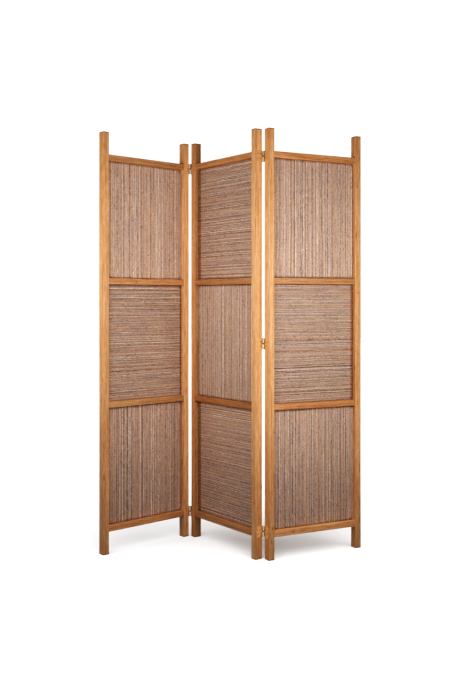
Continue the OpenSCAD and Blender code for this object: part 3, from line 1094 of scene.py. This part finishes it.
def make_mat(panel, row, turn, shade, seed):
    node = f"{panel}_{row}_mat"
    low, high = box_in_panel(panel, node)
    wide, _, tall = high - low
    across, along = (wide, tall) if turn == UPRIGHT else (tall, wide)
    pitch = UPRIGHT_PITCH if turn == UPRIGHT else LEVEL_PITCH
    mat = woven(node + "_woven", {
        "Across": across, "Along": along,
        "Strand count": round(across / pitch), "Strand depth": STRAND_DEPTH,
        "Ragged": RAGGED, "Far end shade": -RAGGED if turn == UPRIGHT else LEVEL_FAR_END_SHADE[panel], "Sway": SWAY,
        "Thread gap": THREAD_GAP, "Thread radius": THREAD_RADIUS, "Turn": turn, "Seed": seed, "Shade": shade,
        "Strand finish": strand_finish, "Thread finish": thread_finish})
    mat.data.transform(spaces[panel] @ Matrix.Translation((low + high) / 2))
    fit(mat, PANELS[panel][0], node)
    return mat


mats = []
for panel, lay in LAY.items():
    for row, (turn, shade) in zip(FIELDS, lay):
        seed = FIRST_SEED + SEED_STEP * len(mats)
        mats.append(make_mat(panel, row, turn, shade, seed))
        corners = [len(polygon.vertices) - 2 for polygon in mats[-1].data.polygons]
        print(mats[-1].name, sum(corners), "triangles")

# %% [markdown]
# ## The studio
#
# The screen stands on a plain pale floor that runs out to white. A lit floor throws light back on the
# timber and flattens it, so this floor is left out of what the timber sees, and it has a wide lamp of
# its own, which gives one soft shadow.

# %% Lay the floor
FLOOR_HALF = 20
FLOOR_GREYS = (0.80, 0.84)
FLOOR_CLOUDS = 3


def pale_floor():
    material, tree, skin = new_finish("pale_floor")
    place = put(tree, "ShaderNodeTexCoord").outputs["Object"]
    low, high = ((grey, grey, grey, 1) for grey in FLOOR_GREYS)
    colour = blended(tree, noise(tree, place, scale=FLOOR_CLOUDS, detail=3), low, high)
    fill(tree, skin, {"Base Color": colour, "Roughness": 0.9})
    return material


floor_mesh = bpy.data.meshes.new("studio_floor")
corners = [(FLOOR_HALF * x, FLOOR_HALF * y, 0) for x, y in ((-1, -1), (1, -1), (1, 1), (-1, 1))]
floor_mesh.from_pydata(corners, [], [(0, 1, 2, 3)])
floor_mesh.materials.append(pale_floor())
floor = link_to_scene("studio_floor", floor_mesh)
floor.visible_diffuse = False
print("floor", 2 * FLOOR_HALF, "m wide")

# %% [markdown]
# ## The room
#
# The room is white to the eye. As light it is faint, so that the lamps shape the timber: a bright white
# room would light every side alike, and the folds would not show.

# %% Light the room
GLOW_ABOVE, GLOW_AROUND, SEEN_WHITE = 0.08, 0.06, 1.1
FULL_HEIGHT = 0.7


def white_room():
    """White to the eye. As light it fades from overhead to the horizon, and is dark below."""
    room = bpy.data.worlds.new("white_room")
    room.use_nodes = True
    tree = room.node_tree
    tree.nodes.clear()
    direction = put(tree, "ShaderNodeTexCoord").outputs["Generated"]
    height = put(tree, "ShaderNodeSeparateXYZ", {0: direction}).outputs[2]
    upper = spread(tree, height, 0.0, FULL_HEIGHT, GLOW_AROUND, GLOW_ABOVE)
    lower = spread(tree, height, 0.0, -FULL_HEIGHT, 0.0, -GLOW_AROUND)
    glow = sum_of(tree, "ADD", upper, lower)
    seen = put(tree, "ShaderNodeLightPath").outputs["Is Camera Ray"]
    light = put(tree, "ShaderNodeBackground", {0: (1, 1, 1, 1), 1: glow}).outputs[0]
    white = put(tree, "ShaderNodeBackground", {0: (1, 1, 1, 1), 1: SEEN_WHITE}).outputs[0]
    mixed = put(tree, "ShaderNodeMixShader", {0: seen, 1: light, 2: white}).outputs[0]
    put(tree, "ShaderNodeOutputWorld", {0: mixed})
    return room


scene.world = white_room()
print("room:", scene.world.name)

# %% [markdown]
# ## The lamps
#
# Three square soft lamps stand close to the front at waist or chest height, so the middle of the screen
# is bright and its head and feet fall off. The one furthest left lights the middle panel, whose face
# turns that way. Two more light the back, and a narrow one straight above lights the tops. They light
# the screen only, so that they leave no bright pools on the floor, which has a lamp of its own.

# %% Place the lamps
CHEST, WAIST = 1.24, 1.08
LAMP_SIDE = 0.8
# Each lamp's distance from the screen's middle, its angle, height and power. Angle 0 is in front, and it
# grows to the right.
LAMPS = {
    "near_left_lamp": (1.22, -30, CHEST, 7.2),
    "near_right_lamp": (1.3, 30, WAIST, 9.4),
    "side_lamp": (1.4, -66, CHEST, 5.8),
    "back_left_lamp": (1.5, -165, CHEST, 10.5),
    "back_right_lamp": (1.5, 150, CHEST, 10.5),
}
standing = [thing for thing in scene.objects if thing.type == "MESH" and thing is not floor]


def lamp_for(name, kind, power, things):
    """A lamp whose light is kept to these things."""
    lamp = bpy.data.lights.new(name, kind)
    lamp.energy = power
    made = link_to_scene(name, lamp)
    lit = bpy.data.collections.new(name + "_reach")
    for thing in things:
        lit.objects.link(thing)
    made.light_linking.receiver_collection = lit
    return made


def soft_lamp(name, distance, angle, height, power):
    """A square lamp on a ring round the screen. It faces the screen's middle line."""
    made = lamp_for(name, "AREA", power, standing)
    made.data.shape = "SQUARE"
    made.data.size = LAMP_SIDE
    turn = math.radians(angle)
    made.location = (distance * math.sin(turn), -distance * math.cos(turn), height)
    aim = Vector((0, 0, height)) - made.location
    made.rotation_euler = aim.to_track_quat("-Z", "Y").to_euler()
    made.visible_camera = False


def far_lamp(name, power, width, tip, things):
    """A lamp as far away as a sky, its width and tip in degrees."""
    made = lamp_for(name, "SUN", power, things)
    made.data.angle = math.radians(width)
    made.rotation_euler = [math.radians(turn) for turn in tip]


for name, row_of_sizes in LAMPS.items():
    soft_lamp(name, *row_of_sizes)
far_lamp("floor_lamp", 6.0, 94, (30, -3, 0), [floor])
far_lamp("top_lamp", 1.3, 6, (0, 0, 0), standing)
print("lamps:", [lamp.name for lamp in bpy.data.lights])

# %% [markdown]
# ## The print
#
# Film and cameras give more contrast in the middle tones than a plain sum of light does, and let the
# brightest tones roll off gently. A curve does the same here: the shadowed ends of the screen deepen
# and the lit teak stays honey-coloured.

# %% Set the tone curve
CONTRAST, SHOULDER = 1.6, 0.9
CURVE_POINTS = (0.02, 0.06, 0.12, 0.2, 0.3, 0.45, 0.6, 0.8)
WHOLE_PICTURE = 3


def film(light):
    raised = light ** CONTRAST
    return raised / (raised + SHOULDER ** CONTRAST) * (1 + SHOULDER ** CONTRAST)


print_look = scene.view_settings
print_look.view_transform = "Standard"
print_look.use_curve_mapping = True
curve = print_look.curve_mapping.curves[WHOLE_PICTURE]
for light in CURVE_POINTS:
    curve.points.new(light, film(light))
print_look.curve_mapping.update()
print("mid grey 0.18 prints as", round(film(0.18), 3))
